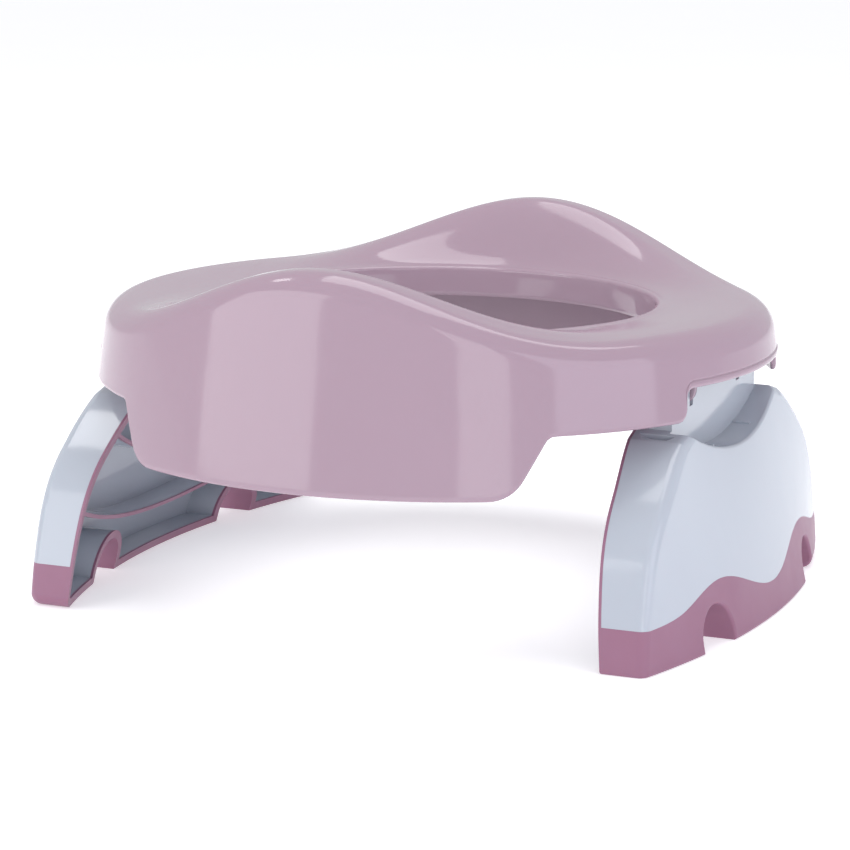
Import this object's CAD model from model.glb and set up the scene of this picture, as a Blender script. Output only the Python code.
# %% [markdown]
# # A fold-leg travel potty
# The object is a round seat moulding on two swinging legs.  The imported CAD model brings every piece
# to its right place and size; this script gives the seat moulding its rounded rim and edges and
# gives every piece its finish.  Lengths of pieces are in millimetres and turn to metres when a mesh
# is made; lamps, camera and floor are placed in metres.

# %% Load the frame
import math

import bpy
import numpy as np
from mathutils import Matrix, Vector


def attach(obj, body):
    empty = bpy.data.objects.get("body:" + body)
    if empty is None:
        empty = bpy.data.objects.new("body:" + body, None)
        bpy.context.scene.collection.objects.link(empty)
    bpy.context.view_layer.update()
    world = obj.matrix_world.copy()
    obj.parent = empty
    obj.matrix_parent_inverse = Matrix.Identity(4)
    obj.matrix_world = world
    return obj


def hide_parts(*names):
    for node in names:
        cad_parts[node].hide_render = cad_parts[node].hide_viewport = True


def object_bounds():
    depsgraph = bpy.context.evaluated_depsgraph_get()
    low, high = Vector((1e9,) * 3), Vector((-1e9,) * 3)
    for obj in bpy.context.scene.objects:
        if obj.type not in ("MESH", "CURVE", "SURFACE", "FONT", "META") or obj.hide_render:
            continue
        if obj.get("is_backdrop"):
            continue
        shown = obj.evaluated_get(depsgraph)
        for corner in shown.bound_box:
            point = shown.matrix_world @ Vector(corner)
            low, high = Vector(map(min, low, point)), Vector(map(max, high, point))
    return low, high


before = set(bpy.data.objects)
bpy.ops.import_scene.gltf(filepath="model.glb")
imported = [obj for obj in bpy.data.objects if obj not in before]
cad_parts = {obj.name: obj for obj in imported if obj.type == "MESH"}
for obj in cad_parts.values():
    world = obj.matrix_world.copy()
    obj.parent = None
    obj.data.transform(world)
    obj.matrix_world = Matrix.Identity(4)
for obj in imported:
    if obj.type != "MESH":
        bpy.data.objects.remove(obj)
cad_low, cad_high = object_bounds()
print("frame", sorted(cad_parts))
MM = 0.001


# %% [markdown]
# ## Mesh helpers
# A new piece is a set of surfaces worked out as whole arrays of points, each closed both ways.  Their
# grids become quads that face outwards, points that lie together are merged, and the result goes
# into one mesh with smooth shading.

# %% Mesh helpers
def grid_faces(rows, columns):
    """Quads of a grid of points numbered row by row, its last row and column joined to its first."""
    index = np.arange(rows * columns).reshape(rows, columns)
    index = np.vstack([index, index[:1]])
    index = np.hstack([index, index[:, :1]])
    return np.stack([index[:-1, :-1], index[:-1, 1:], index[1:, 1:], index[1:, :-1]], -1).reshape(-1, 4)


def merge_points(points, faces, tolerance=0.002):
    """Points that lie together become one, and a face that loses a corner becomes a triangle or goes."""
    keys = np.round(points / tolerance).astype(np.int64)
    _, first, back = np.unique(keys, axis=0, return_index=True, return_inverse=True)
    faces = back.reshape(-1)[faces]
    same = faces == np.roll(faces, -1, axis=1)
    keep = same.sum(axis=1) <= 1
    return points[first], faces[keep], same[keep]


def make_piece(name, points, faces, material, body, slot):
    """A mesh object from points in millimetres, smooth shaded, riding on a CAD body."""
    points, faces, same = merge_points(np.asarray(points, float), faces)
    rings = [face[~twin].tolist() for face, twin in zip(faces, same)]
    mesh = bpy.data.meshes.new(name)
    mesh.from_pydata((points * MM).tolist(), [], rings)
    mesh.validate()
    mesh.shade_smooth()
    piece = bpy.data.objects.new(name, mesh)
    bpy.context.scene.collection.objects.link(piece)
    mesh.materials.append(material)
    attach(piece, body)
    print(name, len(points), "points", len(rings), "faces")
    return piece


def smooth_step(t):
    """Zero below 0, one above 1, and three t squared less two t cubed between."""
    t = np.clip(t, 0, 1)
    return t * t * (3 - 2 * t)


def facing_out(points, faces):
    """The same faces, turned over when the volume that they enclose comes out negative."""
    a, b, c, d = (points[faces[:, i]] for i in range(4))
    volume = (np.cross(b - a, c - a) * a).sum() + (np.cross(c - a, d - a) * a).sum()
    return faces if volume > 0 else faces[:, ::-1]


def join_surfaces(surfaces):
    """Several grids of points, each closed both ways, as one list of points and one of faces."""
    points, faces, count = [], [], 0
    for grid in surfaces:
        points.append(grid.reshape(-1, 3))
        quads = grid_faces(*grid.shape[:2])
        faces.append(facing_out(points[-1], quads) + count)
        count += len(points[-1])
    return np.vstack(points), np.vstack(faces)


# %% [markdown]
# ## Node helpers
# One function adds a node with its settings and links, and one turns a written sRGB colour into the
# linear values that the shader wants.

# %% Node helpers
def linear(hex_colour):
    """A written colour such as C8AAC0, turned from sRGB to linear light, with full alpha."""
    values = [int(hex_colour[i:i + 2], 16) / 255 for i in (0, 2, 4)]
    return [v / 12.92 if v <= 0.04045 else ((v + 0.055) / 1.055) ** 2.4 for v in values] + [1.0]


def add_node(tree, kind, links=None, **settings):
    """A node of one kind; settings name its properties or its input sockets, links name its inputs."""
    node = tree.nodes.new(kind)
    for key, value in settings.items():
        if hasattr(node, key):
            setattr(node, key, value)
        else:
            node.inputs[key.replace("_", " ")].default_value = value
    for key, source in (links or {}).items():
        tree.links.new(source, node.inputs[key])
    return node


def start_material(name):
    """An empty node material with its Principled shader, its output and its Object coordinates."""
    material = bpy.data.materials.new(name)
    material.use_nodes = True
    tree = material.node_tree
    tree.nodes.clear()
    shader = tree.nodes.new("ShaderNodeBsdfPrincipled")
    output = tree.nodes.new("ShaderNodeOutputMaterial")
    tree.links.new(shader.outputs["BSDF"], output.inputs["Surface"])
    place = tree.nodes.new("ShaderNodeTexCoord").outputs["Object"]
    return material, tree, shader, place


# %% [markdown]
# ## Moulded polypropylene
# Seat and legs are injection moulded polypropylene from a polished tool.  To the eye that is an even
# colour with a soft clear gloss, a faint waviness where the wall sank while it cooled, very fine
# handling scuffs, and a little light that comes back out of the plastic.

# %% Moulded polypropylene
def moulded_polypropylene(name, colour, shade, roughness, glow):
    """Glossy moulding: slow colour drift over 60 mm, sink waves over 35 mm, scuffs of 1 mm and less."""
    material, tree, shader, place = start_material(name)
    drift = add_node(tree, "ShaderNodeTexNoise", {"Vector": place}, Scale=16.0, Detail=3.0)
    colours = add_node(tree, "ShaderNodeMix", {"Factor": drift.outputs["Fac"]}, data_type="RGBA")
    colours.inputs[6].default_value = linear(colour)
    colours.inputs[7].default_value = linear(shade)
    tree.links.new(colours.outputs[2], shader.inputs["Base Color"])
    scuffs = add_node(tree, "ShaderNodeTexNoise", {"Vector": place}, Scale=900.0, Detail=4.0,
                      Roughness=0.65)
    patches = add_node(tree, "ShaderNodeTexNoise", {"Vector": place}, Scale=28.0, Detail=2.0)
    wear = add_node(tree, "ShaderNodeMath", {0: scuffs.outputs["Fac"], 1: patches.outputs["Fac"]},
                    operation="MULTIPLY")
    gloss = add_node(tree, "ShaderNodeMapRange", {"Value": wear.outputs[0]})
    for socket, value in (("From Min", 0.1), ("From Max", 0.5), ("To Min", roughness * 0.8),
                          ("To Max", roughness * 1.5)):
        gloss.inputs[socket].default_value = value
    tree.links.new(gloss.outputs["Result"], shader.inputs["Roughness"])
    waves = add_node(tree, "ShaderNodeTexNoise", {"Vector": place}, Scale=28.0, Detail=1.0)
    sink = add_node(tree, "ShaderNodeBump", {"Height": waves.outputs["Fac"]}, Strength=0.25,
                    Distance=0.0006)
    grain = add_node(tree, "ShaderNodeBump", {"Height": scuffs.outputs["Fac"],
                                              "Normal": sink.outputs["Normal"]},
                     Strength=0.06, Distance=0.00004)
    tree.links.new(grain.outputs["Normal"], shader.inputs["Normal"])
    shader.inputs["IOR"].default_value = 1.49
    shader.inputs["Subsurface Weight"].default_value = glow
    shader.inputs["Subsurface Radius"].default_value = (1.0, 0.55, 0.6)
    shader.inputs["Subsurface Scale"].default_value = 0.002
    return material


seat_pink = moulded_polypropylene("moulded_pink_polypropylene", "A7909E", "A38C9A", 0.09, 0.15)
leg_white = moulded_polypropylene("moulded_white_polypropylene", "B3B9C3", "AFB5C0", 0.1, 0.12)
print("materials", seat_pink.name, leg_white.name)


# %% [markdown]
# ## Soft grip
# The feet are overmoulded with a thermoplastic elastomer.  It is denser in colour than the seat,
# satin rather than glossy, and its tool was lightly blasted, which leaves a fine even pebble.

# %% Soft grip
def moulded_elastomer(name, colour, shade):
    """Satin rubbery skin: pebble of about 0.4 mm, slow patches of polish where it has been held."""
    material, tree, shader, place = start_material(name)
    patches = add_node(tree, "ShaderNodeTexNoise", {"Vector": place}, Scale=35.0, Detail=3.0)
    colours = add_node(tree, "ShaderNodeMix", {"Factor": patches.outputs["Fac"]}, data_type="RGBA")
    colours.inputs[6].default_value = linear(colour)
    colours.inputs[7].default_value = linear(shade)
    tree.links.new(colours.outputs[2], shader.inputs["Base Color"])
    pebble = add_node(tree, "ShaderNodeTexNoise", {"Vector": place}, Scale=2400.0, Detail=2.0)
    gloss = add_node(tree, "ShaderNodeMapRange", {"Value": patches.outputs["Fac"]})
    for socket, value in (("From Min", 0.3), ("From Max", 0.7), ("To Min", 0.38), ("To Max", 0.5)):
        gloss.inputs[socket].default_value = value
    tree.links.new(gloss.outputs["Result"], shader.inputs["Roughness"])
    bump = add_node(tree, "ShaderNodeBump", {"Height": pebble.outputs["Fac"]}, Strength=0.2,
                    Distance=0.00006)
    tree.links.new(bump.outputs["Normal"], shader.inputs["Normal"])
    shader.inputs["IOR"].default_value = 1.5
    shader.inputs["Subsurface Weight"].default_value = 0.1
    shader.inputs["Subsurface Scale"].default_value = 0.0015
    return material


grip_pink = moulded_elastomer("moulded_pink_elastomer", "92667E", "8D6078")
print("material", grip_pink.name)


# %% [markdown]
# ## Small steel parts
# Hinge pins are drawn wire, the detent springs are rolled strip and the screws are zinc plated.
# All three are bright metal with marks that run along the way they were drawn or rolled.

# %% Small steel parts
def drawn_steel(name, colour, roughness, stretch):
    """Bright metal with streaks 0.3 to 0.7 mm across, drawn out along the axis of the low scale."""
    material, tree, shader, place = start_material(name)
    turned = add_node(tree, "ShaderNodeMapping", {"Vector": place}, Scale=stretch)
    streaks = add_node(tree, "ShaderNodeTexNoise", {"Vector": turned.outputs["Vector"]}, Scale=1.0,
                       Detail=3.0)
    gloss = add_node(tree, "ShaderNodeMapRange", {"Value": streaks.outputs["Fac"]})
    for socket, value in (("To Min", roughness * 0.7), ("To Max", roughness * 1.4)):
        gloss.inputs[socket].default_value = value
    tree.links.new(gloss.outputs["Result"], shader.inputs["Roughness"])
    bump = add_node(tree, "ShaderNodeBump", {"Height": streaks.outputs["Fac"]}, Strength=0.1,
                    Distance=0.00002)
    tree.links.new(bump.outputs["Normal"], shader.inputs["Normal"])
    shader.inputs["Base Color"].default_value = linear(colour)
    shader.inputs["Metallic"].default_value = 1.0
    return material


pin_steel = drawn_steel("drawn_wire_steel", "C9C9CC", 0.25, (3000, 150, 3000))
spring_steel = drawn_steel("rolled_strip_steel", "B4B5BA", 0.32, (150, 3000, 3000))
screw_steel = drawn_steel("zinc_plated_steel", "D2D4D6", 0.28, (1500, 1500, 400))
print("materials", pin_steel.name, spring_steel.name, screw_steel.name)


# %% [markdown]
# ## Seat shape
# The seat is one thin moulding.  Seen from above it is nearly round; its top is level at the left and
# right, where the child sits, and climbs to a hump front and rear; its skirt hangs deep under the
# humps, is cut short at the four corners and shorter still over the legs.  Everything follows from a
# few functions: the outline at a height, the height of the top, and the lower edge of the skirt.

# %% Seat shape
OUTLINE_X, OUTLINE_Y, OUTLINE_Z = 154.4, 146.0, 95.3
OUTLINE_DRAFT = 0.15
DRAFT_TURN = math.atan(OUTLINE_DRAFT)
OPEN_X, OPEN_Y, OPEN_Z = 98.6, 88.6, 127.7
RIM_RISE, HUMP_RISE, HUMP_HALF_X, CREST_RATIO = 1.5, 29.0, 114.4, 1.37
SKIRT_Z, SHOULDER_Z, SIDE_Z, SIDE_HALF = 68.9, 94.1, 107.6, 62.0
SKIRT_TOE_X, SKIRT_HEEL_X = 84.1, 97.7
SKIRT_ROUNDS = (5.0, 5.0, 5.0, 17.0)    # corner rounding: side cutout, its foot, heel, toe
SIDE_LEAN = 0.6                         # the cutout's upright side leans by this
EDGE_SPACING = 2.3                      # distance between neighbouring slices along the edge
OUTLINE_STEPS = 2001                    # points on a quarter of the outline, to measure along it
ARC_STEPS = 24                          # points on a rounded corner before they are spaced evenly
COLLAR_Z = 114.5
SEAT_WALL = 2.6
RIM_RADIUS = 12.5
BEAD_HEIGHT, BEAD_PROUD, BEAD_GROOVE = 2.9, 0.25, 0.4


def ellipse_radius(turn, half_x, half_y):
    """Distance from the middle to an ellipse in a direction: one over the length of the unit vector
    measured in half sizes."""
    return 1 / np.hypot(np.cos(turn) / half_x, np.sin(turn) / half_y)


def wall_radius(turn, z):
    """The skirt's outline at a height: an ellipse whose half sizes grow with the draft downwards."""
    lean = OUTLINE_DRAFT * (OUTLINE_Z - z)
    return ellipse_radius(turn, OUTLINE_X + lean, OUTLINE_Y + lean)


def sitting_height(x, y):
    """Top surface: level at the opening, then a smooth step up to the rim, tall near the middle of
    the front and rear as half a cosine across, and nothing at the sides."""
    reach = np.hypot(x / OPEN_X, y / OPEN_Y)
    blend = smooth_step((reach - 1) / (CREST_RATIO - 1))
    hump = HUMP_RISE * 0.5 * (1 + np.cos(np.pi * np.clip(np.abs(x) / HUMP_HALF_X, 0, 1)))
    return OPEN_Z + (RIM_RISE + hump) * blend


def rounded_path(corners, radii, spacing):
    """A path of straight runs with its corners turned to arcs, as points an even distance apart."""
    corners = np.asarray(corners, float)
    dense = [corners[0]]
    for before, corner, after, radius in zip(corners, corners[1:], corners[2:], radii):
        into = (corner - before) / np.linalg.norm(corner - before)
        out = (after - corner) / np.linalg.norm(after - corner)
        half = math.acos(np.clip(into @ out, -1, 1)) / 2
        cut = radius * math.tan(half)
        centre = corner + (out - into) / np.linalg.norm(out - into) * radius / math.cos(half)
        start = corner - into * cut - centre
        side = np.sign(into[0] * out[1] - into[1] * out[0])
        for t in np.linspace(0, 2 * half, ARC_STEPS) * side:
            turn = np.array([[math.cos(t), -math.sin(t)], [math.sin(t), math.cos(t)]])
            dense.append(centre + turn @ start)
    dense.append(corners[-1])
    dense = np.array(dense)
    along = np.concatenate([[0], np.cumsum(np.linalg.norm(np.diff(dense, axis=0), axis=1))])
    even = np.linspace(0, along[-1], int(along[-1] / spacing) + 1)
    return np.stack([np.interp(even, along, dense[:, i]) for i in (0, 1)], -1)


def skirt_edge(spacing):
    """Lower edge of the skirt for a quarter turn from +X to +Y, as directions and heights."""
    turns = np.linspace(0, math.pi / 2, OUTLINE_STEPS)
    radius = wall_radius(turns, OUTLINE_Z)
    x, y = radius * np.cos(turns), radius * np.sin(turns)
    along = np.concatenate([[0], np.cumsum(np.hypot(np.diff(x), np.diff(y)))])
    side = np.interp(SIDE_HALF, y, along)
    heel = np.interp(-SKIRT_HEEL_X, -x, along)
    toe = np.interp(-SKIRT_TOE_X, -x, along)
    corners = [(0, SIDE_Z), (side, SIDE_Z), (side + SIDE_LEAN, SHOULDER_Z), (heel, SHOULDER_Z),
               (toe, SKIRT_Z), (along[-1], SKIRT_Z)]
    path = rounded_path(corners, SKIRT_ROUNDS, spacing)
    return np.interp(path[:, 0], along, turns), path[:, 1]


quarter_turn, quarter_low = skirt_edge(EDGE_SPACING)
edge_turn = np.concatenate([quarter_turn, math.pi - quarter_turn[-2::-1],
                            math.pi + quarter_turn[1:], 2 * math.pi - quarter_turn[-2:0:-1]])
edge_low = np.concatenate([quarter_low, quarter_low[-2::-1], quarter_low[1:], quarter_low[-2:0:-1]])
print("skirt edge", len(edge_turn), "columns, lowest", edge_low.min(), "highest", edge_low.max())


# %% [markdown]
# ## Seat surface
# A slice through the seat from the middle outwards is one closed profile: up the collar, over the
# rounded lip of the opening, across the sitting surface, round the rim, down the skirt, round its
# edge, and back up inside.  Carried once round the seat it makes the whole moulding as one closed
# skin with no seam.  Near the skirt's edge the slices lean over so that they follow its steps.

# %% Seat surface
LIP_RADIUS, LIP_RISE, LIP_WIDTH = 1.6, 0.5, 3.2     # rounding of the opening and the bead round it
COLLAR_ROWS, LIP_ROWS, TOP_ROWS, RIM_ROWS = 7, 7, 40, 15
WALL_ROWS_HIGH, WALL_ROWS_LOW, WALL_SPLIT = 13, 26, 0.55
EDGE_ROWS = 8
SLOPE_STEP = 0.2
RIM_GUESS_Z = 150.0                                 # a first height for the rim, to start from
RIM_ROUNDS = 12                                     # repeats until the rim's arc ends on the wall
TOP_CROWDING = 1.15                                 # over 1 draws the top's rows towards the lip
SLICE_LEAD = 1.05                                   # over 1 ends the lean of a slice above its edge
BEAD_START, BEAD_FADE = 3.0, 6.0                    # the bead sets in above the shoulder, over this
BEAD_STEP, GROOVE_WIDTH = 0.6, 0.4


def seat_profile():
    """Outer rows of every slice as arrays of distance, height and direction: a straight collar, the
    lip as a quarter circle, the sitting surface with a bead that fades from the lip, the rim as an
    arc that touches both the top and the drafted wall, and the wall down to the edge, whose bead is a
    smooth step less a bell-shaped groove."""
    columns = len(edge_turn)
    top_turn = np.arange(columns) * 2 * math.pi / columns
    open_radius = ellipse_radius(top_turn, OPEN_X, OPEN_Y)
    cos, sin = np.cos(top_turn), np.sin(top_turn)
    # the rim's arc starts where the top surface has reached the right distance from the wall
    start = wall_radius(top_turn, RIM_GUESS_Z) - RIM_RADIUS
    for _ in range(RIM_ROUNDS):
        height = sitting_height(start * cos, start * sin)
        beyond, before = start + SLOPE_STEP, start - SLOPE_STEP
        slope = (sitting_height(beyond * cos, beyond * sin)
                 - sitting_height(before * cos, before * sin)) / (2 * SLOPE_STEP)
        length = np.hypot(1, slope)
        centre_r = start + RIM_RADIUS * slope / length
        centre_z = height - RIM_RADIUS / length
        end_r = centre_r + RIM_RADIUS * math.cos(DRAFT_TURN)
        end_z = centre_z + RIM_RADIUS * math.sin(DRAFT_TURN)
        start = start + wall_radius(top_turn, end_z) - end_r
    rows = []
    for t in np.linspace(0, 1, COLLAR_ROWS)[:-1]:
        rows.append((open_radius, COLLAR_Z + (OPEN_Z - LIP_RADIUS - COLLAR_Z) * t, top_turn))
    for t in np.linspace(0, math.pi / 2, LIP_ROWS)[:-1]:
        rows.append((open_radius + LIP_RADIUS * (1 - math.cos(t)),
                     OPEN_Z + LIP_RISE - LIP_RADIUS * (1 - math.sin(t)), top_turn))
    lip_end = open_radius + LIP_RADIUS
    for t in np.linspace(0, 1, TOP_ROWS)[:-1] ** TOP_CROWDING:
        radius = lip_end + (start - lip_end) * t
        bead = LIP_RISE * smooth_step(1 - (radius - lip_end) / LIP_WIDTH)
        rows.append((radius, sitting_height(radius * cos, radius * sin) + bead, top_turn))
    first_turn = np.arctan2(1 / length, -slope / length)
    for t in np.linspace(0, 1, RIM_ROWS)[:-1]:
        turn = first_turn + (DRAFT_TURN - first_turn) * t
        rows.append((centre_r + RIM_RADIUS * np.cos(turn), centre_z + RIM_RADIUS * np.sin(turn),
                     top_turn))
    over_leg = smooth_step((edge_low - SHOULDER_Z - BEAD_START) / BEAD_FADE)
    for t in np.concatenate([np.linspace(0, WALL_SPLIT, WALL_ROWS_HIGH)[:-1],
                             np.linspace(WALL_SPLIT, 1, WALL_ROWS_LOW)]):
        turn = top_turn + (edge_turn - top_turn) * smooth_step(t * SLICE_LEAD)
        z = end_z + (edge_low + SEAT_WALL / 2 - end_z) * t
        above = z - edge_low
        bead = (BEAD_PROUD * (1 - smooth_step((above - BEAD_HEIGHT + BEAD_STEP) / BEAD_STEP))
                - BEAD_GROOVE * np.exp(-((above - BEAD_HEIGHT) / GROOVE_WIDTH) ** 2))
        rows.append((wall_radius(turn, z) + over_leg * bead, z, turn))
    return [np.stack(part) for part in zip(*[np.broadcast_arrays(*row) for row in rows])]


def seat_points():
    """Outer rows, then the rounded edge, then the same rows moved inwards by the wall thickness."""
    radius, z, turn = seat_profile()
    along_r = np.gradient(radius, axis=0)
    along_z = np.gradient(z, axis=0)
    length = np.hypot(along_r, along_z)
    normal_r, normal_z = along_z / length, -along_r / length
    inner_r = radius + normal_r * SEAT_WALL
    inner_z = z + normal_z * SEAT_WALL
    middle_r = (radius[-1] + inner_r[-1]) / 2
    middle_z = (z[-1] + inner_z[-1]) / 2
    edge = []
    for t in np.linspace(0, math.pi, EDGE_ROWS)[1:-1]:
        edge.append((middle_r + (radius[-1] - middle_r) * math.cos(t),
                     middle_z - SEAT_WALL / 2 * math.sin(t), turn[-1]))
    edge_r, edge_z, edge_t = [np.stack(part) for part in zip(*edge)]
    rows_r = np.vstack([radius, edge_r, inner_r[::-1]])
    rows_z = np.vstack([z, edge_z, inner_z[::-1]])
    rows_t = np.vstack([turn, edge_t, turn[::-1]])
    return rows_r, rows_z, rows_t


seat_r, seat_z, seat_t = seat_points()
seat_xyz = np.stack([seat_r * np.cos(seat_t), seat_r * np.sin(seat_t), seat_z], -1)
print("seat rows, columns", seat_xyz.shape[:2], "top", seat_z.max())


# %% [markdown]
# ## Lugs and bosses
# Under each end of the seat two lugs with a round bore carry the hinge pins, and a boss takes the
# screw of the detent spring.  A lug is a plate whose edge is written as a distance from its bore, so
# edge and bore join as one closed ring; a boss is a tube about its screw.

# %% Lugs and bosses
HINGE_X, HINGE_Z = 126.0, 102.0
LUG_RADIUS, LUG_THICK, LUG_Y, LUG_TOP_Z, LUG_BORE = 6.6, 3.4, 32.0, 127.9, 2.06
BOSS_X, BOSS_RADIUS, BOSS_BORE, BOSS_LOW_Z, BOSS_TOP_Z = 141.0, 4.0, 1.5, 111.8, 124.5
EDGE_BREAK = 0.35
LUG_POINTS, BOSS_POINTS = 120, 48       # points round a lug's edge and round a boss


def lug_surface(side, y):
    """A plate across Y: round below its bore, straight sided above it, its edges slightly broken."""
    turn = np.linspace(0, 2 * math.pi, LUG_POINTS + 1)[:-1]
    cos, sin = np.cos(turn), np.sin(turn)
    upper = np.minimum(LUG_RADIUS / np.maximum(np.abs(cos), 1e-6),
                       (LUG_TOP_Z - HINGE_Z) / np.maximum(sin, 1e-6))
    reach = np.where(sin > 0, upper, LUG_RADIUS)
    half = LUG_THICK / 2
    rows = [(reach - EDGE_BREAK, -half), (reach, EDGE_BREAK - half), (reach, half - EDGE_BREAK),
            (reach - EDGE_BREAK, half), (0 * reach + LUG_BORE, half), (0 * reach + LUG_BORE, -half)]
    return np.stack([np.stack([side * (HINGE_X + radius * cos), y + side * (across + 0 * cos),
                               HINGE_Z + radius * sin], -1) for radius, across in rows])


def boss_surface(side):
    """A tube about the line of the detent's screw: circles at a few distances and heights."""
    turn = np.linspace(0, 2 * math.pi, BOSS_POINTS + 1)[:-1]
    rows = [(BOSS_BORE, BOSS_TOP_Z), (BOSS_BORE, BOSS_LOW_Z), (BOSS_RADIUS - EDGE_BREAK, BOSS_LOW_Z),
            (BOSS_RADIUS, BOSS_LOW_Z + EDGE_BREAK), (BOSS_RADIUS, BOSS_TOP_Z)]
    return np.stack([np.stack([side * BOSS_X + radius * np.cos(turn), radius * np.sin(turn),
                               z + 0 * turn], -1) for radius, z in rows])


under_seat = [lug_surface(side, y) for side in (1, -1) for y in (-LUG_Y, LUG_Y)]
under_seat += [boss_surface(side) for side in (1, -1)]
seat_moulding = make_piece("seat_moulding", *join_surfaces([seat_xyz] + under_seat),
                           seat_pink, "seat", "seat_pink")
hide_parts("seat_shell")


# %% [markdown]
# ## Studio
# Soft light: a large key on the left, a narrow panel in front that lies as a crisp lighter band on
# the glossy skirt, a broad fill on the right, a small panel for one highlight on the rim and a broad
# one overhead, all in a bright even surrounding.

# %% Studio
def soft_panel(name, place, aim, size, power, colour="FFFFFF"):
    """A rectangular light at a place in metres, turned to face its aim."""
    light = bpy.data.lights.new(name, "AREA")
    light.shape = "RECTANGLE"
    light.size, light.size_y = size
    light.energy = power
    light.color = linear(colour)[:3]
    lamp = bpy.data.objects.new(name, light)
    lamp.location = place
    lamp.rotation_euler = (Vector(aim) - Vector(place)).to_track_quat("-Z", "Y").to_euler()
    bpy.context.scene.collection.objects.link(lamp)
    return lamp


# each panel stands where its mirror image falls on the part of the gloss that it should brighten
soft_panel("key_panel", (-0.925, -1.19, 0.55), (0, 0, 0.1), (1.15, 1.0), 7.8)
soft_panel("front_panel", (0.85, -1.31, 0.5), (0, 0, 0.1), (0.45, 0.9), 2.4)
soft_panel("right_fill", (1.5, -0.45, 0.6), (0.1, 0, 0.1), (1.1, 1.1), 6.5, "EFEFFC")
soft_panel("small_panel", (-0.73, -0.05, 1.12), (-0.14, -0.08, 0.08), (0.22, 0.16), 0.6)
soft_panel("top_panel", (0.0, 0.3, 1.5), (0, 0, 0.1), (1.0, 1.0), 9)

world = bpy.data.worlds.new("studio_surround")
world.use_nodes = True
surround = world.node_tree.nodes["Background"]
surround.inputs["Color"].default_value = linear("F4F5F8")
surround.inputs["Strength"].default_value = 0.72
bpy.context.scene.world = world


# %% [markdown]
# ## Floor
# A matt pale sheet that reaches past the view on every side.  It gives off a little light of its own,
# so that it stays as bright as the surrounding and only the soft shadows show on it.

# %% Floor
FLOOR_HALF = 6.0
floor_mesh = bpy.data.meshes.new("floor")
floor_mesh.from_pydata([(-FLOOR_HALF, -FLOOR_HALF, 0), (FLOOR_HALF, -FLOOR_HALF, 0),
                        (FLOOR_HALF, FLOOR_HALF, 0), (-FLOOR_HALF, FLOOR_HALF, 0)], [], [(0, 1, 2, 3)])
floor = bpy.data.objects.new("floor", floor_mesh)
bpy.context.scene.collection.objects.link(floor)
floor_paint, floor_tree, floor_shader, floor_place = start_material("matt_pale_floor")
floor_mottle = add_node(floor_tree, "ShaderNodeTexNoise", {"Vector": floor_place}, Scale=6.0,
                        Detail=4.0)
floor_mix = add_node(floor_tree, "ShaderNodeMix", {"Factor": floor_mottle.outputs["Fac"]},
                     data_type="RGBA")
floor_mix.inputs[6].default_value = linear("F3F3F4")
floor_mix.inputs[7].default_value = linear("F0F0F2")
floor_tree.links.new(floor_mix.outputs[2], floor_shader.inputs["Base Color"])
floor_shader.inputs["Roughness"].default_value = 0.9
floor_shader.inputs["Emission Color"].default_value = linear("F6F6F8")
floor_shader.inputs["Emission Strength"].default_value = 0.42
floor_mesh.materials.append(floor_paint)
floor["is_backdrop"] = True
print("floor", 2 * FLOOR_HALF, "m wide")


# %% [markdown]
# ## Camera
# A long lens, a little to the right of the front and slightly above, so the seat's rim is seen
# almost edge on and the outside of the right leg shows.

# %% Camera
LENS, SENSOR_WIDTH = 127.06, 36.0
CAMERA_PLACE = (0.5249, -1.2209, 0.3455)
CAMERA_TURN, CAMERA_RISE = math.radians(23.52), math.radians(11.73)

camera_data = bpy.data.cameras.new("camera")
camera_data.sensor_width = SENSOR_WIDTH
camera_data.lens = LENS
camera = bpy.data.objects.new("camera", camera_data)
camera.location = CAMERA_PLACE
camera_back = Vector((math.sin(CAMERA_TURN) * math.cos(CAMERA_RISE),
                      -math.cos(CAMERA_TURN) * math.cos(CAMERA_RISE), math.sin(CAMERA_RISE)))
camera.rotation_euler = camera_back.to_track_quat("Z", "Y").to_euler()
bpy.context.scene.collection.objects.link(camera)
bpy.context.scene.camera = camera
bpy.context.scene.view_settings.view_transform = "Standard"
print("camera", CAMERA_PLACE, "lens", LENS)


# %% [markdown]
# ## Finishes
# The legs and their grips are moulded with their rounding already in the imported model, and the pins,
# plugs, springs and screws are small and plain, so these pieces keep their modelled shape.  Each
# takes the finish that its kind of piece has on the real object.

# %% Finishes
FINISH_BY_KIND = (("seat_shell", seat_pink), ("leg_grip", grip_pink), ("leg_shell", leg_white),
                  ("plug", leg_white), ("spring", spring_steel), ("screw", screw_steel),
                  ("pin", pin_steel))
for name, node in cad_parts.items():
    finish = [material for kind, material in FINISH_BY_KIND if kind in name][0]
    node.data.materials.clear()
    node.data.materials.append(finish)
    print(name, finish.name)


visual_low, visual_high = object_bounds()
for title, corner in (("packed low", cad_low), ("packed high", cad_high),
                      ("visual low", visual_low), ("visual high", visual_high)):
    print(title, [round(value, 4) for value in corner])
